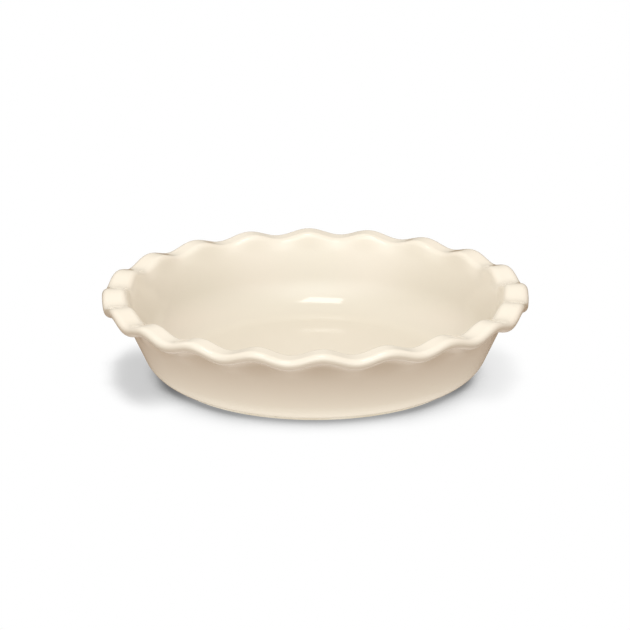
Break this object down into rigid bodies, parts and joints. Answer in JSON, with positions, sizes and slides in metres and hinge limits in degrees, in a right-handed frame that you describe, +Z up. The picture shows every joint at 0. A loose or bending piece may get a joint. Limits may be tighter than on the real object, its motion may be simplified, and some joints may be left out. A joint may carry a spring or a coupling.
{
  "type": "clafoutis dish",
  "caption": "Round ceramic clafoutis dish with leaning walls, a wide ruffled rim and a bare foot ring, glazed cream, for baking and serving fruit custards and tarts.",
  "frame": {"origin": "centre of the plane that the foot ring stands on, on the axis of the dish", "axes": "+Z up along the axis of the dish, with a crest of the rim's wave on +X"},
  "size_m": [0.28, 0.28, 0.0576],
  "materials": {
    "bare_clay": "bare fired clay, matt and slightly gritty, seen only on the foot ring",
    "cream_glaze": "smooth glossy cream glaze"
  },
  "bodies": {
    "root": {"clay_body": "bare_clay", "inside_glaze": "cream_glaze", "outside_glaze": "cream_glaze", "underside_glaze": "cream_glaze"}
  },
  "joints": []
}
